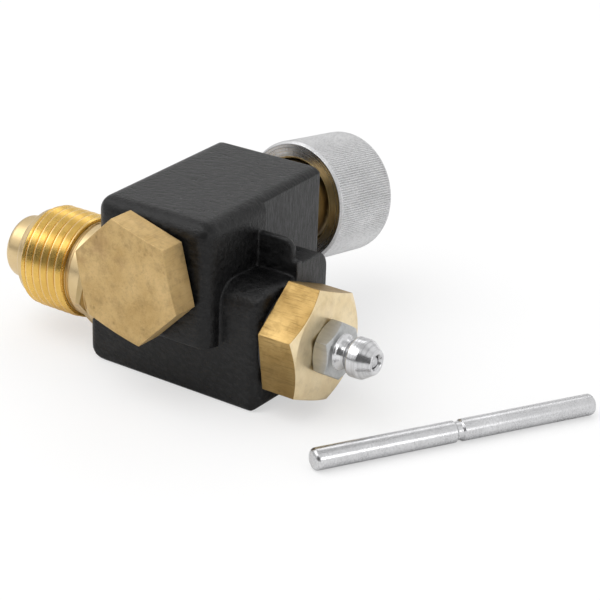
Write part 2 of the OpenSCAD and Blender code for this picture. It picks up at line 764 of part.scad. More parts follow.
module grooved_pin() {
    r = pin_d / 2;
    half = pin_l / 2;
    arc_r = r - pin_end_r;
    near_arc = [for (a = [-90:15:0]) [arc_r + pin_end_r * cos(a), pin_end_r - half + pin_end_r * sin(a)]];
    far_arc = [for (a = [0:15:90]) [arc_r + pin_end_r * cos(a), half - pin_end_r + pin_end_r * sin(a)]];
    groove = [[r, -pin_groove_w / 2], [r - pin_groove_t, -pin_groove_w / 2],
        [r - pin_groove_t, pin_groove_w / 2], [r, pin_groove_w / 2]];
    color(steel) translate([pin_x, pin_y, r]) rotate([0, 90, pin_heading])
        turned(concat([[0, -half]], near_arc, groove, far_arc, [[0, half]]));
}

valve_body();
flare_fitting();
flare_washer();
front_plug();
front_plug_washer();
side_plug();
side_plug_washer();
grease_nipple();
nipple_ball();
nipple_spring();
tail_piece();
tail_washer();
tail_gasket();
swivel_nut();
control_sleeve();
control_spool();
orifice_disc();
stop_ring();
control_spring();
spring_seat();
grooved_pin();
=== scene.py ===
import math
import bmesh
import bpy
from mathutils import Matrix, Vector


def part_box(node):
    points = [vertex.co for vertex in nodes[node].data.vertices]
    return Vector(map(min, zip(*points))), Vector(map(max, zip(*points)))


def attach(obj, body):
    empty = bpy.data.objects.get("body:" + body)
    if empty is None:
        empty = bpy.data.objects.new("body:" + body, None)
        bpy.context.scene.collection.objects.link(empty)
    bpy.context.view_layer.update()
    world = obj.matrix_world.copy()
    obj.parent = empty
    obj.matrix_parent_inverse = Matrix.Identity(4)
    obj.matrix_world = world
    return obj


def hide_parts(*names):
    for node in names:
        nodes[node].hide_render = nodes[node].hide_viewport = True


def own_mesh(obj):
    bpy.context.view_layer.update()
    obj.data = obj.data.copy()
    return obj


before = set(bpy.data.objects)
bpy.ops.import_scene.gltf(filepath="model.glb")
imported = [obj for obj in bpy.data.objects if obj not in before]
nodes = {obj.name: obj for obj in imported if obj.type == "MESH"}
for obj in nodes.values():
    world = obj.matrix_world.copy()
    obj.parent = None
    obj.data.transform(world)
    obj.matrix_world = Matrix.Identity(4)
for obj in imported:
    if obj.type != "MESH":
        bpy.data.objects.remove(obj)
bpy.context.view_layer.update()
scene = bpy.context.scene
scene.view_settings.view_transform = "Standard"
mm = 0.001  # sizes of the pieces are in millimetres
valveZ, portZ, flareZ = 20.1, 11.1, 11.9  # heights of the valve, port and flare axes
print("frame loaded,", len(nodes), "nodes")


# camera at the photograph's viewing angle, in metres
photoView = {"place": (0.1675, -0.2170, 0.1338), "right": (0.821, 0.570, 0.033),
             "back": (0.510, -0.758, 0.406), "lens": 110.4, "sensor": 36}


def placeCamera(view):
    bpy.ops.object.camera_add()
    camera = bpy.context.object
    camera.name = "photoCamera"
    camera.data.lens = view["lens"]
    camera.data.sensor_width = view["sensor"]
    back = Vector(view["back"]).normalized()
    right = Vector(view["right"])
    right = (right - back * right.dot(back)).normalized()
    turn = Matrix((right, back.cross(right), back)).transposed()
    camera.matrix_world = Matrix.Translation(view["place"]) @ turn.to_4x4()
    scene.camera = camera


bpy.ops.object.select_all(action="DESELECT")
placeCamera(photoView)
print("camera placed")


class Wire:
    # a shader socket, or the bare tree, that sums and nodes are hung on
    def __init__(self, tree, socket=None):
        self.tree = tree
        self.socket = socket

    def node(self, kind, settings=None, sockets=None, out=0):
        made = self.tree.nodes.new(kind)
        for key, value in (settings or {}).items():
            setattr(made, key, value)
        for key, value in (sockets or {}).items():
            if isinstance(value, Wire):
                self.tree.links.new(value.socket, made.inputs[key])
            else:
                made.inputs[key].default_value = value
        return Wire(self.tree, made.outputs[out] if made.outputs else None)

    def sum(self, operation, first, second):
        return self.node("ShaderNodeMath", {"operation": operation}, {0: first, 1: second})

    def __add__(self, other):
        return self.sum("ADD", self, other)

    def __rsub__(self, other):
        return self.sum("SUBTRACT", other, self)

    def __mul__(self, other):
        return self.sum("MULTIPLY", self, other)

    def most(self, other):
        return self.sum("MAXIMUM", self, other)

    def spread(self, low, high, start=0.0, end=1.0):
        # values from low to high become start to end, held at both
        return self.node("ShaderNodeMapRange", {"clamp": True},
                         {"Value": self, "From Min": low, "From Max": high, "To Min": start, "To Max": end})


def newFinish(name):
    material = bpy.data.materials.new(name)
    material.use_nodes = True
    material.node_tree.nodes.clear()
    return material, Wire(material.node_tree)


def closeFinish(wire, sockets):
    shader = wire.node("ShaderNodeBsdfPrincipled", {}, sockets)
    wire.node("ShaderNodeOutputMaterial", {}, {"Surface": shader})


def patternPlace(wire, stretch=(1, 1, 1), move=(0, 0, 0)):
    where = wire.node("ShaderNodeTexCoord", out="Object")
    return wire.node("ShaderNodeMapping", {}, {"Vector": where, "Scale": stretch, "Location": move})


def speckle(wire, place, scale, detail=3.0, rough=0.5):
    return wire.node("ShaderNodeTexNoise", {},
                     {"Vector": place, "Scale": scale, "Detail": detail, "Roughness": rough})


def tint(wire, amount, first, second):
    # colour mix by a varying amount; inputs 6 and 7 and output 2 are the colour ones
    mixed = wire.node("ShaderNodeMix", {"data_type": "RGBA"}, {"Factor": amount}, out=2)
    node = mixed.socket.node
    for key, value in ((6, first), (7, second)):
        if isinstance(value, Wire):
            wire.tree.links.new(value.socket, node.inputs[key])
        else:
            node.inputs[key].default_value = (*value, 1)
    return mixed


def edgeMask(wire, radius):
    # bright where the surface turns sharply within the radius
    rounded = wire.node("ShaderNodeBevel", {"samples": 6}, {"Radius": radius})
    facing = wire.node("ShaderNodeNewGeometry", out="Normal")
    same = wire.node("ShaderNodeVectorMath", {"operation": "DOT_PRODUCT"}, {0: rounded, 1: facing}, out=1)
    return (1 - same).spread(0.02, 0.16), rounded


def axisReach(wire, across, height):
    # distance from a level axis at that height, in metres
    spoke = patternPlace(wire, across, (0, 0, -height * mm))
    return wire.node("ShaderNodeVectorMath", {"operation": "LENGTH"}, {0: spoke}, out=1)


def shaded(colour, share):
    return tuple(part * share for part in colour)


# pale floor, soft lamps, a white surround and cards that only reflections see, in metres and degrees
studio = {"floorSize": 8, "floorDrop": 0.00005, "floorColours": ((0.93, 0.93, 0.93), (0.95, 0.95, 0.95)),
          "ownWhite": 0.55, "surround": 0.68, "aim": (0.01, 0, 0.015),
          "lamps": {"keyLamp": ((-0.55, -0.65, 1.45), 1.7, 16.0),  # place, size, power
                    "sideLamp": ((1.15, -0.2, 0.42), 0.34, 1.0),
                    "backLamp": ((-0.5, 1.1, 1.0), 1.0, 2.8)},
          "cardDistance": 1.5,
          "cards": {"horizonCard": ((235, 100), (0, 7), 0.04),  # heading and half width, rise, shade
                    "cameraCard": ((290, 35), (6, 42), 0.14),
                    "backScrim": ((124, 40), (9, 42), 0.76),
                    "overheadScrim": ((0, 180), (62, 85), 0.6)}}
mottleScale = 30


def addLamp(name, place, size, power, aim):
    bpy.ops.object.light_add(type="AREA", location=place)
    lamp = bpy.context.object
    lamp.name = name
    lamp.data.size = size
    lamp.data.energy = power
    way = Vector(aim) - Vector(place)
    lamp.rotation_euler = way.to_track_quat("-Z", "Y").to_euler()


def cardPaint(name, shade):
    material, wire = newFinish(name)
    mottle = speckle(wire, patternPlace(wire), mottleScale)
    colour = tint(wire, mottle, (shade,) * 3, (shade * 1.08,) * 3)
    closeFinish(wire, {"Base Color": colour, "Roughness": 0.9, "Specular IOR Level": 0.0})
    return material


def floorPaint(name, first, second, ownWhite):
    material, wire = newFinish(name)
    mottle = speckle(wire, patternPlace(wire), mottleScale)
    paint = wire.node("ShaderNodeBsdfDiffuse", {}, {"Color": tint(wire, mottle, first, second)})
    white = wire.node("ShaderNodeEmission", {}, {"Color": (1, 1, 1, 1), "Strength": 1.0})
    seen = wire.node("ShaderNodeLightPath", out="Is Camera Ray")
    mixed = wire.node("ShaderNodeMixShader", {}, {0: seen * ownWhite, 1: paint, 2: white})
    wire.node("ShaderNodeOutputMaterial", {}, {"Surface": mixed})
    return material


def dressStage(piece, name, material):
    piece.name = name
    bpy.ops.object.transform_apply(location=True, rotation=True, scale=True)
    piece.data.materials.append(material)


def addCard(name, distance, sweep, rise, shade):
    # part of a sphere round the set
    heading, half = sweep
    low, high = (math.radians(angle) for angle in rise)
    bpy.ops.mesh.primitive_uv_sphere_add(segments=72, ring_count=72, radius=distance)
    card = bpy.context.object
    dressStage(card, name, cardPaint(name + "Paint", shade))
    bpy.ops.object.mode_set(mode="EDIT")
    bpy.ops.mesh.select_mode(type="FACE")
    bpy.ops.mesh.select_all(action="DESELECT")
    shape = bmesh.from_edit_mesh(card.data)
    for face in shape.faces:
        x, y, z = face.calc_center_median()
        turn = (math.degrees(math.atan2(y, x)) - heading + 180) % 360 - 180
        face.select = abs(turn) > half or not low < math.asin(z / distance) < high
    bmesh.update_edit_mesh(card.data)
    bpy.ops.mesh.delete(type="FACE")
    bpy.ops.object.mode_set(mode="OBJECT")
    card.visible_camera = False
    card.visible_diffuse = False
    card.visible_shadow = False


def setStudio(v):
    bpy.ops.mesh.primitive_plane_add(size=v["floorSize"], location=(0, 0, -v["floorDrop"]))
    finish = floorPaint("paleFloorPaint", *v["floorColours"], v["ownWhite"])
    dressStage(bpy.context.object, "paleFloor", finish)
    for name, (sweep, rise, shade) in v["cards"].items():
        addCard(name, v["cardDistance"], sweep, rise, shade)
    for name, (place, size, power) in v["lamps"].items():
        addLamp(name, place, size, power, v["aim"])
    world = bpy.data.worlds.new("studioWorld")
    world.use_nodes = True
    scene.world = world
    world.node_tree.nodes.clear()
    wire = Wire(world.node_tree)
    seen = wire.node("ShaderNodeLightPath", out="Is Camera Ray")
    for ray in ("Is Glossy Ray", "Is Transmission Ray"):
        seen = seen.most(wire.node("ShaderNodeLightPath", out=ray))
    strength = seen * (1 - v["surround"]) + v["surround"]
    light = wire.node("ShaderNodeBackground", {}, {"Color": (1, 1, 1, 1), "Strength": strength})
    wire.node("ShaderNodeOutputWorld", {}, {"Surface": light})


setStudio(studio)
print("floor and lamps set")


# finishes; pattern scales are per metre, depths and heights in millimetres
noiseBand = (0.3, 0.7)  # where most of a noise lies
roundX, roundY = (9000, 40, 40), (40, 9000, 40)  # turned marks
alongX, alongY = (260, 3600, 3600), (3600, 260, 3600)  # drawn marks

coats = {
    "blackCoatCast": {"stretch": (800, 1400, 1400), "crisp": 0.65, "relief": 1.3, "grain": 0.3,
                      "depth": 0.17, "dark": (0.003, 0.003, 0.0032), "mid": (0.006, 0.006, 0.0063),
                      "light": (0.013, 0.013, 0.0133), "lightBand": (0.46, 0.66), "rough": (0.26, 0.4)},
    "blackCoatBrushed": {"stretch": (4000, 4000, 520), "crisp": 0.75, "relief": 0.9, "grain": 0.2,
                         "depth": 0.12, "dark": (0.006, 0.006, 0.0063), "mid": (0.006, 0.006, 0.0063),
                         "light": (0.066, 0.066, 0.0675), "lightBand": (0.4, 0.66), "rough": (0.28, 0.44)}}


def blackCoatFinish(name, v):
    material, wire = newFinish(name)
    place = patternPlace(wire)
    grain = speckle(wire, place, 4200, 3, 0.6)
    relief = speckle(wire, patternPlace(wire, v["stretch"]), 1.0, 4, v["crisp"])
    cloud = speckle(wire, place, 160, 2)
    edge, rounded = edgeMask(wire, 0.45 * mm)
    shade = tint(wire, cloud.spread(*noiseBand), v["dark"], v["mid"])
    # lighter along the relief: on the cast coat its own uneven tone and a painted sheen of its orange peel,
    # on the brushed flats the brush lines
    shade = tint(wire, relief.spread(*v["lightBand"]), shade, v["light"])
    # edges lighter: rubbed wear and a painted highlight, on concave creases as well as convex edges
    coatEdgeWearAndHighlight = edge * grain.spread(0.44, 0.6)
    shade = tint(wire, coatEdgeWearAndHighlight * 0.4, shade, (0.13, 0.13, 0.135))
    height = relief * v["relief"] + grain * v["grain"]
    bump = wire.node("ShaderNodeBump", {}, {"Strength": 0.7, "Distance": v["depth"] * mm, "Height": height,
                                            "Normal": rounded})
    closeFinish(wire, {"Base Color": shade, "Roughness": relief.spread(*noiseBand, *v["rough"]),
                       "Specular IOR Level": 0.25, "Normal": bump})
    return material


# marks: which way the tool or drawing marks run; paintedLowShade: painted shade, darker towards the bottom,
# as two heights and the amount at the lower one;
# ridge: axis height, groove radius and crest radius of a thread, which takes painted shade and grime in its
# grooves and a painted highlight on its crests
plainBrass = {"stains": 0, "depth": 0.012, "lineShade": 0, "pitting": 0.5, "paintedLowShade": None, "ridge": None}
brasses = {
    "polishedFlareBrass": {"light": (0.68, 0.52, 0.29), "dark": (0.60, 0.45, 0.23), "rough": (0.28, 0.36),
                           "marks": roundX, "depth": 0.006, "pitting": 0.05},
    "cutThreadBrass": {"light": (0.82, 0.54, 0.145), "dark": (0.73, 0.46, 0.115), "rough": (0.25, 0.31),
                       "marks": roundX, "depth": 0.0015, "pitting": 0.05, "ridge": (flareZ, 8.16, 8.78)},
    "dullFlareHexBrass": {"light": (0.60, 0.45, 0.23), "dark": (0.52, 0.37, 0.17), "rough": (0.32, 0.42),
                          "marks": alongX, "stains": 0.35},
    "agedPlugBrassFront": {"light": (0.66, 0.48, 0.235), "dark": (0.56, 0.395, 0.175), "rough": (0.54, 0.66),
                           "marks": alongY, "stains": 0.5, "depth": 0.02, "lineShade": 0.25},
    # the side plug's darker, browner copy of the aged plug brass: painted shade on its flats
    "agedPlugBrassSidePaintedShade": {"light": (0.50, 0.34, 0.135), "dark": (0.36, 0.23, 0.08), "rough": (0.32, 0.44),
                          "marks": alongX, "stains": 0.55, "depth": 0.03, "lineShade": 0.7,
                          "paintedLowShade": (9.0, 15.0, 0.5)},
    "palePlugBrassFace": {"light": (0.84, 0.70, 0.46), "dark": (0.74, 0.59, 0.35), "rough": (0.3, 0.42),
                          "marks": roundX, "stains": 0.3},
    "tailBrass": {"light": (0.60, 0.43, 0.18), "dark": (0.46, 0.30, 0.11), "rough": (0.28, 0.4),
                  "marks": roundY, "stains": 0.2}}


def stainBrass(wire, place, cloud, shade, dark, amount):
    # haze, brown smears and small dark dots
    haze = speckle(wire, place, 560, 5, 0.7).spread(0.48, 0.74)
    smearPlace = patternPlace(wire, (170, 260, 120), (0.3, 0.1, 0.7))
    smear = speckle(wire, smearPlace, 1.0, 5, 0.65).spread(0.56, 0.72)
    spots = wire.node("ShaderNodeTexVoronoi", {}, {"Vector": place, "Scale": 420, "Randomness": 1.0})
    dots = spots.spread(0.05, 0.16, 1, 0) * cloud.spread(0.45, 0.6)
    brown = tuple(part * share for part, share in zip(dark, (0.62, 0.54, 0.6)))
    shade = tint(wire, haze * amount, shade, shaded(dark, 0.55))
    shade = tint(wire, smear * amount, shade, brown)
    return tint(wire, dots * amount, shade, shaded(dark, 0.25))


def brassFinish(name, values):
    v = {**plainBrass, **values}
    light, dark = v["light"], v["dark"]
    material, wire = newFinish(name)
    place = patternPlace(wire)
    marks = speckle(wire, patternPlace(wire, v["marks"]), 1.0, 3, 0.7)
    cloud = speckle(wire, place, 190, 4, 0.6)
    fine = speckle(wire, place, 3600, 3, 0.6)
    edge, rounded = edgeMask(wire, 0.18 * mm)
    shade = tint(wire, cloud.spread(0.36, 0.66), light, dark)
    if v["lineShade"]:
        shade = tint(wire, marks.spread(0.5, 0.72) * v["lineShade"], shade, shaded(dark, 0.5))
    if v["stains"]:
        shade = stainBrass(wire, place, cloud, shade, dark, v["stains"])
    # painted shade: the brass darker towards the bottom
    if v["paintedLowShade"]:
        below, above, amount = v["paintedLowShade"]
        height = wire.node("ShaderNodeSeparateXYZ", {}, {"Vector": place}, out=2)
        shade = tint(wire, height.spread(below * mm, above * mm, amount, 0), shade, shaded(dark, 0.35))
    # edges lighter: rubbed wear and a painted edge highlight
    shade = tint(wire, edge * 0.4, shade, tuple(min(1, part * 1.2 + 0.05) for part in light))
    if v["ridge"]:  # painted shade and grime in the grooves, painted highlight on the crests
        axis, groove, crest = v["ridge"]
        reach = axisReach(wire, (0, 1, 1), axis)
        grooveShadeAndGrime = reach.spread(groove * mm, (groove + 0.2) * mm, 0.6, 0)
        shade = tint(wire, grooveShadeAndGrime, shade, shaded(dark, 0.3))
        gleam = reach.spread((crest - 0.05) * mm, crest * mm, 0, 0.5)
        shade = tint(wire, gleam, shade, (0.84, 0.64, 0.36))
    rough = cloud.spread(*noiseBand, *v["rough"]) + fine.spread(*noiseBand, -0.03, 0.05)
    height = marks * 0.7 + fine * v["pitting"]
    bump = wire.node("ShaderNodeBump", {}, {"Strength": 0.5, "Distance": v["depth"] * mm, "Height": height,
                                            "Normal": rounded})
    closeFinish(wire, {"Base Color": shade, "Roughness": rough, "Metallic": 1.0, "Normal": bump})
    return material


# rings: height of a Y axis that the turned marks circle round, in place of straight marks
plainSteel = {"edgeWearAndHighlight": 0.5, "lineShade": 0, "rings": None}
steels = {
    "zincNippleSteel": {"light": (0.70, 0.70, 0.71), "dark": (0.58, 0.58, 0.59), "rough": (0.16, 0.24),
                        "marks": (3000, 60, 60), "depth": 0.03, "edgeWearAndHighlight": 0.4, "lineShade": 0.55},
    "zincNippleHex": {"light": (0.50, 0.505, 0.50), "dark": (0.40, 0.405, 0.40), "rough": (0.28, 0.4),
                      "marks": (300, 1800, 1800), "depth": 0.03, "lineShade": 0.25},
    "knurledNutSteel": {"light": (0.70, 0.70, 0.705), "dark": (0.64, 0.64, 0.645), "rough": (0.34, 0.44),
                        "marks": (4200, 1500, 4200), "depth": 0.05, "edgeWearAndHighlight": 0.2, "lineShade": 0.45},
    "turnedNutFace": {"light": (0.46, 0.46, 0.47), "dark": (0.38, 0.38, 0.39), "rough": (0.2, 0.28),
                      "depth": 0.05, "edgeWearAndHighlight": 0.4, "lineShade": 0.5, "rings": valveZ},
    "drawnPinSteel": {"light": (0.66, 0.66, 0.67), "dark": (0.57, 0.57, 0.58), "rough": (0.2, 0.28),
                      "marks": (4600, 4600, 2600), "depth": 0.016, "edgeWearAndHighlight": 0.4, "lineShade": 0.5},
    "innerSteel": {"light": (0.60, 0.60, 0.61), "dark": (0.50, 0.50, 0.51), "rough": (0.28, 0.4),
                   "marks": roundY, "depth": 0.01}}


def steelFinish(name, values):
    v = {**plainSteel, **values}
    material, wire = newFinish(name)
    place = patternPlace(wire)
    if v["rings"] is None:
        marks = speckle(wire, patternPlace(wire, v["marks"]), 1.0, 4, 0.65)
    else:
        reach = axisReach(wire, (1, 0, 1), v["rings"])
        marks = wire.node("ShaderNodeTexNoise", {"noise_dimensions": "1D"},
                          {"W": reach * 2600, "Scale": 1.0, "Detail": 3.0})
    cloud = speckle(wire, place, 240, 4, 0.6)
    fine = speckle(wire, place, 4200, 3, 0.6)
    edge, rounded = edgeMask(wire, 0.15 * mm)
    shade = tint(wire, cloud.spread(0.34, 0.68), v["light"], v["dark"])
    if v["lineShade"]:
        shade = tint(wire, marks.spread(0.45, 0.7) * v["lineShade"], shade, shaded(v["dark"], 0.5))
    # edges lighter: rubbed wear and a painted edge highlight
    shade = tint(wire, edge * v["edgeWearAndHighlight"], shade, (0.88, 0.88, 0.88))
    rough = cloud.spread(*noiseBand, *v["rough"]) + marks.spread(*noiseBand, -0.03, 0.05)
    bump = wire.node("ShaderNodeBump", {}, {"Strength": 0.5, "Distance": v["depth"] * mm,
                                            "Height": marks * 0.7 + fine * 0.4, "Normal": rounded})
    closeFinish(wire, {"Base Color": shade, "Roughness": rough, "Metallic": 1.0, "Normal": bump})
    return material


def rubberFinish(name):
    material, wire = newFinish(name)
    place = patternPlace(wire)
    fine = speckle(wire, place, 5200, 3)
    cloud = speckle(wire, place, 500, 3)
    shade = tint(wire, cloud, (0.012, 0.012, 0.012), (0.03, 0.029, 0.028))
    bump = wire.node("ShaderNodeBump", {}, {"Strength": 0.3, "Distance": 0.03 * mm, "Height": fine})
    rough = cloud.spread(*noiseBand, 0.55, 0.75)
    closeFinish(wire, {"Base Color": shade, "Roughness": rough, "Normal": bump})
    return material


coat = {name: blackCoatFinish(name, values) for name, values in coats.items()}
brass = {name: brassFinish(name, values) for name, values in brasses.items()}
steel = {name: steelFinish(name, values) for name, values in steels.items()}
sealRubber = rubberFinish("sealRubber")
print("finishes made")


# modelling helpers, all in millimetres along the piece's own Z axis
weld = 0.002  # points closer than this are one point


def clearHands():
    if bpy.context.mode != "OBJECT":
        bpy.ops.object.mode_set(mode="OBJECT")
    bpy.ops.object.select_all(action="DESELECT")


def takeUp(piece):
    clearHands()
    piece.select_set(True)
    bpy.context.view_layer.objects.active = piece


def roundedEnd(radius, station, size):
    # quarter round from a side to an end, as radius and station pairs
    angles = [math.radians(angle) for angle in range(0, 91, 9)]
    return [(radius - size * (1 - math.cos(a)), station - size * (1 - math.sin(a))) for a in angles]


def turnUp(name, profile, segments=96, capped=False):
    # a ring is drawn at the first station, then extruded and scaled from station to station
    clearHands()
    (radius, station), rest = profile[0], profile[1:]
    bpy.ops.mesh.primitive_circle_add(vertices=segments, radius=radius * mm, location=(0, 0, station * mm),
                                      fill_type="NGON" if capped else "NOTHING")
    piece = bpy.context.object
    piece.name = name
    bpy.ops.object.transform_apply(location=True, rotation=True, scale=True)
    bpy.ops.object.mode_set(mode="EDIT")
    bpy.ops.mesh.select_all(action="SELECT")
    if capped:
        bpy.ops.mesh.select_mode(type="EDGE")
        bpy.ops.mesh.region_to_loop()
    for newRadius, newStation in rest:
        rise = (newStation - station) * mm
        bpy.ops.mesh.extrude_edges_move(TRANSFORM_OT_translate={"value": (0, 0, rise)})
        if newRadius != radius:
            grow = newRadius / radius
            bpy.ops.transform.resize(value=(grow, grow, 1), center_override=(0, 0, newStation * mm))
        radius, station = newRadius, newStation
    if capped:
        bpy.ops.mesh.edge_face_add()
    bpy.ops.mesh.select_all(action="SELECT")
    bpy.ops.mesh.remove_doubles(threshold=weld * mm)
    bpy.ops.mesh.normals_make_consistent(inside=False)
    bpy.ops.object.mode_set(mode="OBJECT")
    return piece


def drawChain(name, points):
    # a plane is collapsed to one point, which is then extruded along the list
    clearHands()
    bpy.ops.mesh.primitive_plane_add(size=mm)
    piece = bpy.context.object
    piece.name = name
    bpy.ops.object.mode_set(mode="EDIT")
    bpy.ops.mesh.select_all(action="SELECT")
    bpy.ops.mesh.merge(type="CENTER")
    bpy.ops.mesh.select_all(action="SELECT")
    spots = [Vector(point) * mm for point in points]
    bpy.ops.transform.translate(value=spots[0])
    for before, after in zip(spots, spots[1:]):
        bpy.ops.mesh.extrude_vertices_move(TRANSFORM_OT_translate={"value": after - before})
    bpy.ops.object.mode_set(mode="OBJECT")
    return piece


def applyAll(piece):
    takeUp(piece)
    for modifier in list(piece.modifiers):
        bpy.ops.object.modifier_apply(modifier=modifier.name)


def carve(piece, tool, operation="DIFFERENCE", solver="EXACT"):
    cut = piece.modifiers.new("carve", "BOOLEAN")
    cut.object = tool
    cut.operation = operation
    cut.solver = solver
    applyAll(piece)
    bpy.data.objects.remove(tool)


def cleanSkin(piece):
    # near points are merged, and faces with no area and loose edges go
    takeUp(piece)
    bpy.ops.object.mode_set(mode="EDIT")
    bpy.ops.mesh.select_all(action="SELECT")
    bpy.ops.mesh.remove_doubles(threshold=weld * mm)
    bpy.ops.mesh.dissolve_degenerate(threshold=weld * mm)
    bpy.ops.mesh.delete_loose()
    bpy.ops.object.mode_set(mode="OBJECT")


def closeSkin(piece):
    # open ends are filled, and all faces turned outward
    takeUp(piece)
    bpy.ops.object.mode_set(mode="EDIT")
    bpy.ops.mesh.select_all(action="SELECT")
    bpy.ops.mesh.fill_holes(sides=0)
    bpy.ops.mesh.select_all(action="SELECT")
    bpy.ops.mesh.normals_make_consistent(inside=False)
    bpy.ops.object.mode_set(mode="OBJECT")


def softenEdges(piece, width, angle=28):
    rounding = piece.modifiers.new("softenEdges", "BEVEL")
    rounding.limit_method = "ANGLE"
    rounding.angle_limit = math.radians(angle)
    rounding.width = width * mm
    rounding.segments = 2
    applyAll(piece)
    cleanSkin(piece)


def joinUp(main, others):
    takeUp(main)
    for other in others:
        other.select_set(True)
    bpy.ops.object.join()


def hexHead(name, acrossFlats, high, turn, slope, circleShare=0.985, bothEnds=False):
    # six-sided bar, longer than needed, cut to length by a chamfered turning
    clearHands()
    corner = acrossFlats / math.sqrt(3)
    spare, clear = 2, 0.6  # past the ends, and past the corners
    turned = (0, 0, math.radians(turn + 30))
    bpy.ops.mesh.primitive_cylinder_add(vertices=6, radius=corner * mm, depth=(high + spare) * mm,
                                        location=(0, 0, high / 2 * mm), rotation=turned)
    piece = bpy.context.object
    piece.name = name
    bpy.ops.object.transform_apply(location=True, rotation=True, scale=True)
    flat = acrossFlats / 2 * circleShare
    out = corner + clear
    drop = (out - flat) * math.tan(math.radians(slope))
    foot = [(flat, 0), (out, drop)] if bothEnds else [(out, 0)]
    envelope = turnUp("envelope", foot + [(out, high - drop), (flat, high)], 144, True)
    carve(piece, envelope, "INTERSECT")
    return piece


def windUp(piece, pitch, turns, steps):
    # an outline is swept along a helix round Z
    sweep = piece.modifiers.new("sweep", "SCREW")
    sweep.axis = "Z"
    sweep.angle = math.radians(360)
    sweep.screw_offset = pitch * mm
    sweep.iterations = turns
    sweep.steps = steps
    sweep.render_steps = steps
    sweep.use_merge_vertices = True
    sweep.merge_threshold = weld * mm
    applyAll(piece)


def threadUp(name, crest, root, pitch, low, high, runOut, lead):
    # one tooth swept along the helix, cut flat at both ends and chamfered by a turned envelope
    tooth = [(root, 0), (root + (crest - root) * 0.42, 0.12), (crest, 0.7), (crest, 0.77), (root, 1)]
    piece = drawChain(name, [(radius, 0, low + (share - 1) * pitch) for radius, share in tooth])
    windUp(piece, pitch, math.ceil((high - low) / pitch) + 2, 128)
    bpy.ops.object.mode_set(mode="EDIT")
    for station, side in ((low, -1), (high, 1)):
        bpy.ops.mesh.select_all(action="SELECT")
        bpy.ops.mesh.bisect(plane_co=(0, 0, station * mm), plane_no=(0, 0, side), use_fill=True,
                            clear_outer=True)
    bpy.ops.mesh.select_all(action="SELECT")
    bpy.ops.mesh.remove_doubles(threshold=weld / 2 * mm)
    bpy.ops.mesh.normals_make_consistent(inside=False)
    bpy.ops.object.mode_set(mode="OBJECT")
    over = crest + 0.05  # the envelope clears the crest and tapers to under the root at both ends
    envelope = turnUp("envelope", [(root - 0.06, low - 0.01), (over, low + runOut), (over, high - lead),
                                   (root - 0.1, high + 0.01)], 144, True)
    carve(piece, envelope, "INTERSECT")
    cleanSkin(piece)
    closeSkin(piece)
    return piece


def layAlong(piece, origin, direction):
    # the piece's Z axis is laid along a direction through a point, and its place goes into the mesh
    takeUp(piece)
    along = Vector(direction).normalized()
    side = Vector((0, 0, 1)) - along * along.z
    side = side.normalized() if side.length > 0.01 else Vector((1, 0, 0))
    way = Matrix((side, along.cross(side), along)).transposed()
    piece.matrix_world = Matrix.Translation(Vector(origin) * mm) @ way.to_4x4()
    bpy.ops.object.transform_apply(location=True, rotation=True, scale=True)


def paint(piece, material, angle=10):
    # smooth shading below the angle, and one finish all over
    takeUp(piece)
    bpy.ops.object.shade_smooth_by_angle(angle=math.radians(angle))
    piece.data.materials.clear()
    piece.data.materials.append(material)


def giveOver(piece, body, node):
    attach(piece, body)
    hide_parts(node)
    print(piece.name, "made,", len(piece.data.polygons), "faces")


# cast body; boxes are lowest and highest X, Y and Z, and bores are radius, start and end
casting = {"bar": (-10.6, 12.0, -11.2, 20.5, 9.7, 30.4), "barRise": 1.2, "barEdge": 2.4, "barFoot": 0.5,
           "port": (-14.9, 19.6, -8.0, 10.0, 0.0, 20.3), "portTopEdge": 3.4, "portEndEdge": 1.4,
           "portSideEdges": (1.4, 2.2), "portLowEdge": 0.7, "portRightEdge": 2.4, "portLeftEdge": 3.6,
           "portHeel": 1.0, "lug": (9.0, 20.2, 1.7, 10.0, 3.2, 22.7), "lugCorner": 3.2,
           "rib": (9.0, 18.6, 1.75, 2.85, 15.0, 26.1), "ribCorner": 2.0, "voxel": 0.26, "smooth": 3,
           "back": 19.5, "right": 19.6, "sole": 0.02, "lugTop": 22.3, "padX": 11.4, "padFrom": 3.9,
           "padRear": 10.0, "ribStep": 0.6, "ribRear": 2.9, "brushedFrom": 1.5,
           "bores": ((6.05, (0, -14, valveZ), (0, -4.5, valveZ)),  # front plug
                     (3.4, (0, -5, valveZ), (0, -1, valveZ)),  # passage behind it
                     (5.05, (0, -1.45, valveZ), (0, 10.2, valveZ)),  # control cartridge
                     (6.05, (0, 9.9, valveZ), (0, 24, valveZ)),  # tail
                     (6.05, (12.9, 0, portZ), (24, 0, portZ)),  # side plug
                     (6.05, (-8, 0, flareZ), (-20, 0, flareZ)),  # flare
                     (9.3, (-12.9, 0, flareZ), (-20, 0, flareZ)))}  # the flare's spot face


def castBlock(name, corners):
    clearHands()
    x0, x1, y0, y1, z0, z1 = (value * mm for value in corners)
    bpy.ops.mesh.primitive_cube_add(size=1, location=((x0 + x1) / 2, (y0 + y1) / 2, (z0 + z1) / 2),
                                    scale=(x1 - x0, y1 - y0, z1 - z0))
    piece = bpy.context.object
    piece.name = name
    bpy.ops.object.transform_apply(location=True, rotation=True, scale=True)
    return piece


def pickEdges(piece, test):
    # selects the edges whose midpoint, in millimetres, and direction pass the test
    takeUp(piece)
    bpy.ops.object.mode_set(mode="EDIT")
    bpy.ops.mesh.select_mode(type="EDGE")
    bpy.ops.mesh.select_all(action="DESELECT")
    shape = bmesh.from_edit_mesh(piece.data)
    for edge in shape.edges:
        first, second = (vert.co / mm for vert in edge.verts)
        edge.select = test((first + second) / 2, (second - first).normalized())
    shape.select_flush_mode()
    bmesh.update_edit_mesh(piece.data)


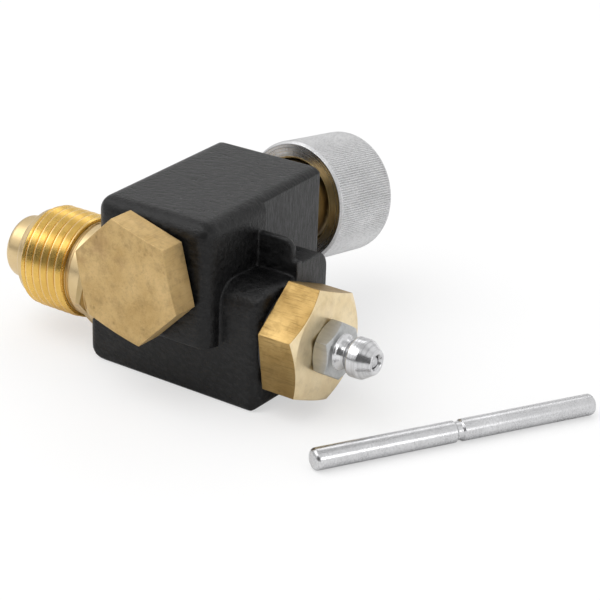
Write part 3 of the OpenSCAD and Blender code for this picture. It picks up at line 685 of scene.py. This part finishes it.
def roundEdges(piece, radius, test, segments=8):
    pickEdges(piece, test)
    bpy.ops.mesh.bevel(offset=radius * mm, segments=segments, affect="EDGES", clamp_overlap=False)
    bpy.ops.object.mode_set(mode="OBJECT")


def runs(way, axis):
    return abs(getattr(way, axis)) > 0.9


def boreTool(radius, start, end):
    # a drill between two points
    first, second = Vector(start), Vector(end)
    tool = turnUp("drill", [(radius, 0), (radius, (second - first).length)], 48, True)
    layAlong(tool, first, second - first)
    return tool


def makeBar(v):
    # valve bar: rising top, rounded top and upright front edges, sharper foot
    rear, foot, top = v["bar"][3:]
    bar = castBlock("castBody", v["bar"])
    pickEdges(bar, lambda mid, way: mid.y > rear - 1 and mid.z > top - 1)
    bpy.ops.transform.translate(value=(0, 0, v["barRise"] * mm))
    bpy.ops.object.mode_set(mode="OBJECT")
    roundEdges(bar, v["barEdge"], lambda mid, way: mid.y < rear - 0.5 and mid.z > foot + 2)
    roundEdges(bar, v["barFoot"], lambda mid, way: mid.y < rear - 0.5 and mid.z < foot + 0.1, 3)
    return bar


def makePort(v):
    # port bar: three rounded slabs that keep only what they share
    x0, x1, y0, y1, z0, z1 = v["port"]
    port = castBlock("portBar", v["port"])
    roundEdges(port, v["portTopEdge"], lambda mid, way: runs(way, "x") and mid.z > z1 - 1)
    roundEdges(port, v["portLowEdge"], lambda mid, way: runs(way, "x") and mid.z < z0 + 1 and mid.y < y0 + 1)
    plan = castBlock("portPlan", (x0, x1, y0, y1, z0 - 1, z1 + 1))
    leftEdge, rightEdge = v["portSideEdges"]
    roundEdges(plan, leftEdge, lambda mid, way: runs(way, "z") and mid.y < 0 and mid.x < 0)
    roundEdges(plan, rightEdge, lambda mid, way: runs(way, "z") and mid.y < 0 and mid.x > x1 - 0.1)
    roundEdges(plan, v["portHeel"], lambda mid, way: runs(way, "z") and mid.y > y1 - 0.1, 4)
    ends = castBlock("portEnds", (x0, x1, y0 - 1, y1 + 1, z0, z1))
    roundEdges(ends, v["portEndEdge"], lambda mid, way: runs(way, "y") and mid.z > z1 - 1)
    roundEdges(ends, v["portRightEdge"], lambda mid, way: runs(way, "y") and mid.z < z0 + 1 and mid.x > 0)
    roundEdges(ends, v["portLeftEdge"], lambda mid, way: runs(way, "y") and mid.z < z0 + 1 and mid.x < 0)
    for slab in (plan, ends):
        carve(port, slab, "INTERSECT", "MANIFOLD")
    return port


def machineBody(bar, v):
    # back, right end, underside, pad and lug top, the wall behind the lug and the step behind the rib
    far, over, under = 40, 60, -9  # beyond the casting
    padX, lugTop = v["padX"], v["lugTop"]
    cuts = ((-far, far, v["back"], far, under, over), (v["right"], far, -far, far, under, over),
            (-far, far, -far, far, under, v["sole"]), (padX, far, v["padFrom"], far, lugTop, over),
            (padX, far, v["padRear"], far, under, over),
            (padX + v["ribStep"], far, v["ribRear"], far, lugTop, over))
    for corners in cuts:
        carve(bar, castBlock("cutter", corners), solver="MANIFOLD")
    for radius, start, end in v["bores"]:
        carve(bar, boreTool(radius, start, end), solver="MANIFOLD")


def makeBody(v):
    bar = makeBar(v)
    port = makePort(v)
    lug = castBlock("lug", v["lug"])
    lugRear, lugTop = v["lug"][3], v["lug"][5]
    roundEdges(lug, v["lugCorner"],
               lambda mid, way: runs(way, "x") and mid.y > lugRear - 1 and mid.z > lugTop - 1)
    rib = castBlock("rib", v["rib"])
    ribEnd, ribTop = v["rib"][1], v["rib"][5]
    roundEdges(rib, v["ribCorner"],
               lambda mid, way: runs(way, "y") and mid.x > ribEnd - 0.5 and mid.z > ribTop - 1)
    for other in (port, lug, rib):
        carve(bar, other, "UNION")
    bar.data.remesh_voxel_size = v["voxel"] * mm
    takeUp(bar)
    bpy.ops.object.voxel_remesh()
    soften = bar.modifiers.new("soften", "SMOOTH")
    soften.factor = 0.5
    soften.iterations = v["smooth"]
    applyAll(bar)
    machineBody(bar, v)
    paint(bar, coat["blackCoatCast"], 32)
    bar.data.materials.append(coat["blackCoatBrushed"])
    straight, near = 0.99, 0.02
    for face in bar.data.polygons:  # the machined flats take the brushed finish
        spot, facing = face.center / mm, face.normal
        onPad = facing.x > straight and abs(spot.x - v["padX"]) < near
        onEnd = facing.x > straight and abs(spot.x - v["right"]) < near and spot.y > v["brushedFrom"]
        onBack = facing.y > straight and abs(spot.y - v["back"]) < near
        face.material_index = 1 if onPad or onEnd or onBack else 0
    giveOver(bar, "valve", "valve_body")


makeBody(casting)


# brass flare fitting, along -X; stepLine is drop from the step's radius and station
flare = {"start": -14.95, "acrossFlats": 18, "hexLong": 1.4, "hexTurn": 20, "hexSlope": 20, "hexCircle": 0.99,
         "collar": 9.2, "collarLow": -1.95, "collarHigh": 0.05, "neck": 8.15, "neckEnd": 4.3,
         "crest": 8.8, "root": 8.16, "coreGap": 0.1, "inset": 0.05, "pitch": 1.6, "threadEnd": 14.7,
         "runOut": 0.95, "lead": 0.7, "step": 7.9, "stepLine": ((0, 15.0), (0.15, 15.8), (1.0, 16.7)),
         "stepFoot": 5.6, "stepEnd": 16.8, "notch": 0.6, "nose": 5.5, "tip": 21.0, "noseEdge": 1.2,
         "bore": 3.5, "boreEdge": 0.3, "shank": 5.95, "shankEnd": -6.9, "shankEdge": 0.7,
         "soften": 0.1, "hexSoften": 0.08}


def makeFlare(v):
    core = v["root"] - v["coreGap"]
    bore, boreEdge, tip = v["bore"], v["boreEdge"], v["tip"]
    shank, shankEnd, shankEdge = v["shank"], v["shankEnd"], v["shankEdge"]
    collar, neck, neckEnd, threadEnd = v["collar"], v["neck"], v["neckEnd"], v["threadEnd"]
    nose, notch, stepEnd = v["nose"], v["notch"], v["stepEnd"]
    profile = [(bore, shankEnd), (shank - shankEdge, shankEnd), (shank, shankEnd + shankEdge),
               (shank, v["collarLow"]), (collar, v["collarLow"]), (collar, v["collarHigh"]),
               (neck, v["collarHigh"]), (neck, neckEnd), (core, neckEnd + v["inset"]),
               (core, threadEnd - v["inset"])]
    profile += [(v["step"] - drop, station) for drop, station in v["stepLine"]]
    profile += [(v["stepFoot"], stepEnd), (nose - notch, stepEnd + notch / 2), (nose, stepEnd + notch)]
    profile += roundedEnd(nose, tip, v["noseEdge"])
    profile += [(bore + boreEdge, tip), (bore, tip - boreEdge), (bore, shankEnd)]
    piece = turnUp("flareFitting", profile, 128)
    softenEdges(piece, v["soften"])
    paint(piece, brass["polishedFlareBrass"])
    hexPart = hexHead("flareHex", v["acrossFlats"], v["hexLong"], v["hexTurn"], v["hexSlope"], v["hexCircle"])
    softenEdges(hexPart, v["hexSoften"])
    paint(hexPart, brass["dullFlareHexBrass"])
    thread = threadUp("flareThread", v["crest"], v["root"], v["pitch"], neckEnd, threadEnd,
                      v["runOut"], v["lead"])
    paint(thread, brass["cutThreadBrass"])
    joinUp(piece, [hexPart, thread])
    layAlong(piece, (v["start"], 0, flareZ), (-1, 0, 0))
    giveOver(piece, "valve", "flare_fitting")


makeFlare(flare)


# two hexagon plugs
plugs = {
    "frontPlug": {"node": "front_plug", "origin": (0, -11.85, valveZ), "along": (0, -1, 0), "acrossFlats": 18,
                  "high": 5.0, "turn": -45.2, "slope": 12, "bore": 3.5, "boreEnd": -2.2,
                  "finish": brass["agedPlugBrassFront"], "faceFinish": brass["agedPlugBrassFront"]},
    "sidePlug": {"node": "side_plug", "origin": (20.25, 0, portZ), "along": (1, 0, 0), "acrossFlats": 17.4,
                 "high": 6.7, "turn": 8.8, "slope": 28, "bore": 1.3, "boreEnd": 6.69,
                 "finish": brass["agedPlugBrassSidePaintedShade"], "faceFinish": brass["palePlugBrassFace"]}}
plugShank = {"radius": 5.95, "long": 7.2, "lead": 0.6, "neck": 5.45, "neckFrom": -1.0, "neckTo": -0.7,
             "bury": 0.5, "soften": 0.1, "softenAngle": 12}


def makePlug(name, v, s):
    head = hexHead(name, v["acrossFlats"], v["high"], v["turn"], v["slope"])
    softenEdges(head, s["soften"], s["softenAngle"])
    low, radius = -s["long"], s["radius"]
    profile = [(v["bore"], v["boreEnd"]), (v["bore"], low), (radius - s["lead"], low),
               (radius, low + s["lead"]), (radius, s["neckFrom"]), (s["neck"], s["neckTo"]),
               (s["neck"], s["bury"])]
    shank = turnUp(name + "Shank", profile, 64, True)
    joinUp(head, [shank])
    paint(head, v["finish"])
    head.data.materials.append(v["faceFinish"])
    for face in head.data.polygons:  # the turned end and its chamfer
        face.material_index = 1 if face.normal.z > 0.5 else 0
    layAlong(head, v["origin"], v["along"])
    giveOver(head, "valve", v["node"])


for name, values in plugs.items():
    makePlug(name, values, plugShank)


# grease nipple in the side plug, along +X; outline is radius and station from the bore to the hexagon
nipple = {"start": 26.95, "acrossFlats": 8.5, "hexEnd": 2.9, "turn": 58, "slope": 30, "hexCircle": 0.97,
          "outline": ((1.3, 1.7), (1.3, 8.6), (1.0, 8.65), (1.4, 9.2),  # bore and mouth
                      (1.85, 9.2), (2.0, 9.1), (3.25, 7.2), (3.25, 5.4),  # tip and head
                      (2.3, 4.4), (2.45, 3.8), (2.7, 3.3), (3.0, 3.1), (3.0, -0.02)),  # neck and collar
          "soften": 0.12, "hexSoften": 0.08, "hexSoftenAngle": 24}


def makeNipple(v):
    piece = turnUp("greaseNipple", v["outline"], 96, True)
    softenEdges(piece, v["soften"])
    paint(piece, steel["zincNippleSteel"])
    hexPart = hexHead("nippleHex", v["acrossFlats"], v["hexEnd"], v["turn"], v["slope"], v["hexCircle"], True)
    softenEdges(hexPart, v["hexSoften"], v["hexSoftenAngle"])
    paint(hexPart, steel["zincNippleHex"])
    joinUp(piece, [hexPart])
    layAlong(piece, (v["start"], 0, portZ), (1, 0, 0))
    giveOver(piece, "valve", "grease_nipple")


makeNipple(nipple)


# knurled swivel nut, loose on the tail piece
swivel = {"front": (0, 28.6, valveZ), "along": (0.077891, 0.989697, -0.120137), "outer": 10.65, "long": 14.9,
          "lip": 7.7, "lipLong": 2.2, "lipEdge": 0.3, "relief": 9.45, "reliefTo": 8.1, "core": 8.9,
          "coreFrom": 8.5, "coreEdge": 0.5, "edge": 0.45, "rearEdge": 0.62, "teeth": 160, "toothDeep": 0.24,
          "knurlFrom": 0.5, "knurlTo": 14.2, "plainDrop": 0.05, "knurlEase": 0.12, "faceDepth": 1.0,
          "threadWall": 9.0, "threadCrest": 8.35, "threadPitch": 1.5, "threadTurns": 3, "threadFrom": 9.2,
          "ridgeHalf": 0.54}


def sinkKnurl(piece, v):
    # every third line of points between the plain ends sinks
    lines = v["teeth"] * 3
    takeUp(piece)
    bpy.ops.object.mode_set(mode="EDIT")
    bpy.ops.mesh.select_mode(type="VERT")
    bpy.ops.mesh.select_all(action="DESELECT")
    shape = bmesh.from_edit_mesh(piece.data)
    for vert in shape.verts:
        x, y = vert.co.xy / mm
        line = round(math.atan2(y, x) / (2 * math.pi) * lines) % 3
        vert.select = line == 0 and math.hypot(x, y) > v["outer"] - 0.02
    shape.select_flush_mode()
    bmesh.update_edit_mesh(piece.data)
    sink = (v["outer"] - v["toothDeep"]) / v["outer"]
    bpy.ops.transform.resize(value=(sink, sink, 1), center_override=(0, 0, 0))
    bpy.ops.object.mode_set(mode="OBJECT")


def windRidge(v):
    # inner thread: one closed outline wound round the wall
    wall, crest = v["threadWall"], v["threadCrest"]
    outline = ((wall, 0), (crest, 0.8), (crest, 1.2), (wall, 2))  # radius, and share of the half width
    ridge = drawChain("nutThread", [(radius, 0, v["threadFrom"] + v["ridgeHalf"] * share)
                                    for radius, share in outline])
    takeUp(ridge)
    bpy.ops.object.mode_set(mode="EDIT")
    bpy.ops.mesh.select_all(action="SELECT")
    bpy.ops.mesh.edge_face_add()
    bpy.ops.mesh.delete(type="ONLY_FACE")
    bpy.ops.object.mode_set(mode="OBJECT")
    windUp(ridge, v["threadPitch"], v["threadTurns"], 72)
    closeSkin(ridge)
    return ridge


def makeSwivelNut(v):
    out, far, lip, core, relief = (v[key] for key in ("outer", "long", "lip", "core", "relief"))
    plain, ease = out - v["plainDrop"], v["knurlEase"]
    profile = [(lip, v["lipLong"]), (lip, v["lipEdge"]), (lip + v["lipEdge"], 0), (out - v["edge"], 0),
               (plain, v["edge"]), (plain, v["knurlFrom"]), (out, v["knurlFrom"] + ease),
               (out, v["knurlTo"] - ease), (plain, v["knurlTo"]), (plain, far - v["rearEdge"]),
               (out - v["rearEdge"], far), (core + v["coreEdge"], far), (core, far - v["coreEdge"]),
               (core, v["coreFrom"]), (relief, v["reliefTo"]), (relief, v["lipLong"]), (lip, v["lipLong"])]
    piece = turnUp("swivelNut", profile, v["teeth"] * 3)
    sinkKnurl(piece, v)
    joinUp(piece, [windRidge(v)])
    paint(piece, steel["knurledNutSteel"])
    piece.data.materials.append(steel["turnedNutFace"])
    for face in piece.data.polygons:  # turned end faces and bore
        reach = math.hypot(face.center.x, face.center.y) / mm
        if abs(face.normal.z) > 0.95 or reach < out - v["faceDepth"]:
            face.material_index = 1
    layAlong(piece, v["front"], v["along"])
    giveOver(piece, "swivel_nut", "swivel_nut")


makeSwivelNut(swivel)


# brass tail piece, along +Y
tail = {"start": 9.95, "shank": 5.95, "shankEnd": 10.2, "shankEdge": 0.6, "neck": 7.15, "neckEnd": 22.17,
        "flange": 8.3, "flangeEnd": 24.17, "flangeEdge": 0.2, "bore": 3.5, "edge": 0.3, "flats": 12.6,
        "flatsEnd": 13.6, "soften": 0.08}


def makeTail(v):
    shank, neck, flange, bore = (v[key] for key in ("shank", "neck", "flange", "bore"))
    shankEnd, neckEnd, flangeEnd = v["shankEnd"], v["neckEnd"], v["flangeEnd"]
    shankEdge, flangeEdge, edge = v["shankEdge"], v["flangeEdge"], v["edge"]
    profile = [(bore, 0), (shank - shankEdge, 0), (shank, shankEdge), (shank, shankEnd), (neck, shankEnd),
               (neck, neckEnd - edge), (neck + edge, neckEnd), (flange - flangeEdge, neckEnd),
               (flange, neckEnd + flangeEdge), (flange, flangeEnd - flangeEdge),
               (flange - flangeEdge, flangeEnd), (bore + edge, flangeEnd), (bore, flangeEnd - edge),
               (bore, 0)]
    piece = turnUp("tailPiece", profile)
    softenEdges(piece, v["soften"])
    clear = 12  # beyond the neck
    for side in (-1, 1):  # spanner flats
        low, high = sorted((side * v["flats"] / 2, side * clear))
        carve(piece, castBlock("flatCutter", (low, high, -clear, clear, shankEnd, v["flatsEnd"])))
    layAlong(piece, (0, v["start"], valveZ), (0, 1, 0))
    paint(piece, brass["tailBrass"])
    giveOver(piece, "valve", "tail_piece")


makeTail(tail)


# grooved steel pin lying beside the valve
pin = {"middle": (48.5, 4.2, 1.75), "heading": 60, "radius": 1.75, "long": 49.28, "endRound": 0.8,
       "grooveWide": 1.4, "grooveDeep": 0.3, "grooveSlope": 0.25, "soften": 0.06}


def makePin(v):
    radius, groove, slope = v["radius"], v["grooveWide"] / 2, v["grooveSlope"]
    low = radius - v["grooveDeep"]
    end = roundedEnd(radius, v["long"] / 2, v["endRound"])
    profile = [(reach, -station) for reach, station in reversed(end)]
    profile += [(radius, -groove), (low, slope - groove), (low, groove - slope), (radius, groove)] + end
    piece = turnUp("groovedPin", profile, 64, True)
    softenEdges(piece, v["soften"])
    heading = math.radians(v["heading"])
    layAlong(piece, v["middle"], (math.cos(heading), math.sin(heading), 0))
    paint(piece, steel["drawnPinSteel"])
    giveOver(piece, "grooved_pin", "grooved_pin")


makePin(pin)


# coil springs in front of the spool and behind the nipple's ball
springs = {"control_spring": {"name": "spoolSpring", "wire": 0.6, "curls": 9, "along": (0, 1, 0),
                              "joint": "spool_travel", "travel": 2.55},
           "nipple_spring": {"name": "ballSpring", "wire": 0.26, "curls": 6, "along": (1, 0, 0),
                             "joint": "ball_push", "travel": 1.08}}


def makeSpring(node, v):
    low, high = (Vector(corner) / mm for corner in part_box(node))
    along = Vector(v["along"])
    long = (high - low).dot(along)
    foot = (low + high - along * long) / 2
    half = v["wire"] / 2
    coil = (high.z - low.z) / 2 - half
    clearHands()
    bpy.ops.mesh.primitive_circle_add(vertices=12, radius=half * mm, location=(coil * mm, 0, half * mm),
                                      rotation=(math.radians(90), 0, 0))
    piece = bpy.context.object
    piece.name = v["name"]
    bpy.ops.object.transform_apply(location=True, rotation=True, scale=True)
    windUp(piece, (long - v["wire"]) / v["curls"], v["curls"], 40)
    closeSkin(piece)
    layAlong(piece, foot, v["along"])
    paint(piece, steel["innerSteel"], 40)
    giveOver(piece, "valve", node)
    1 - v["travel"] / long
    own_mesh(piece)


for node, values in springs.items():
    makeSpring(node, values)


# the small inner parts keep their solids and take a finish
innerFinishes = {"washer": sealRubber, "gasket": sealRubber, "disc": brass["tailBrass"]}
for name, node in nodes.items():
    if node.hide_render:
        continue
    finish = next((made for word, made in innerFinishes.items() if word in name), steel["innerSteel"])
    node.data.materials.clear()
    node.data.materials.append(finish)
print("inner parts finished")
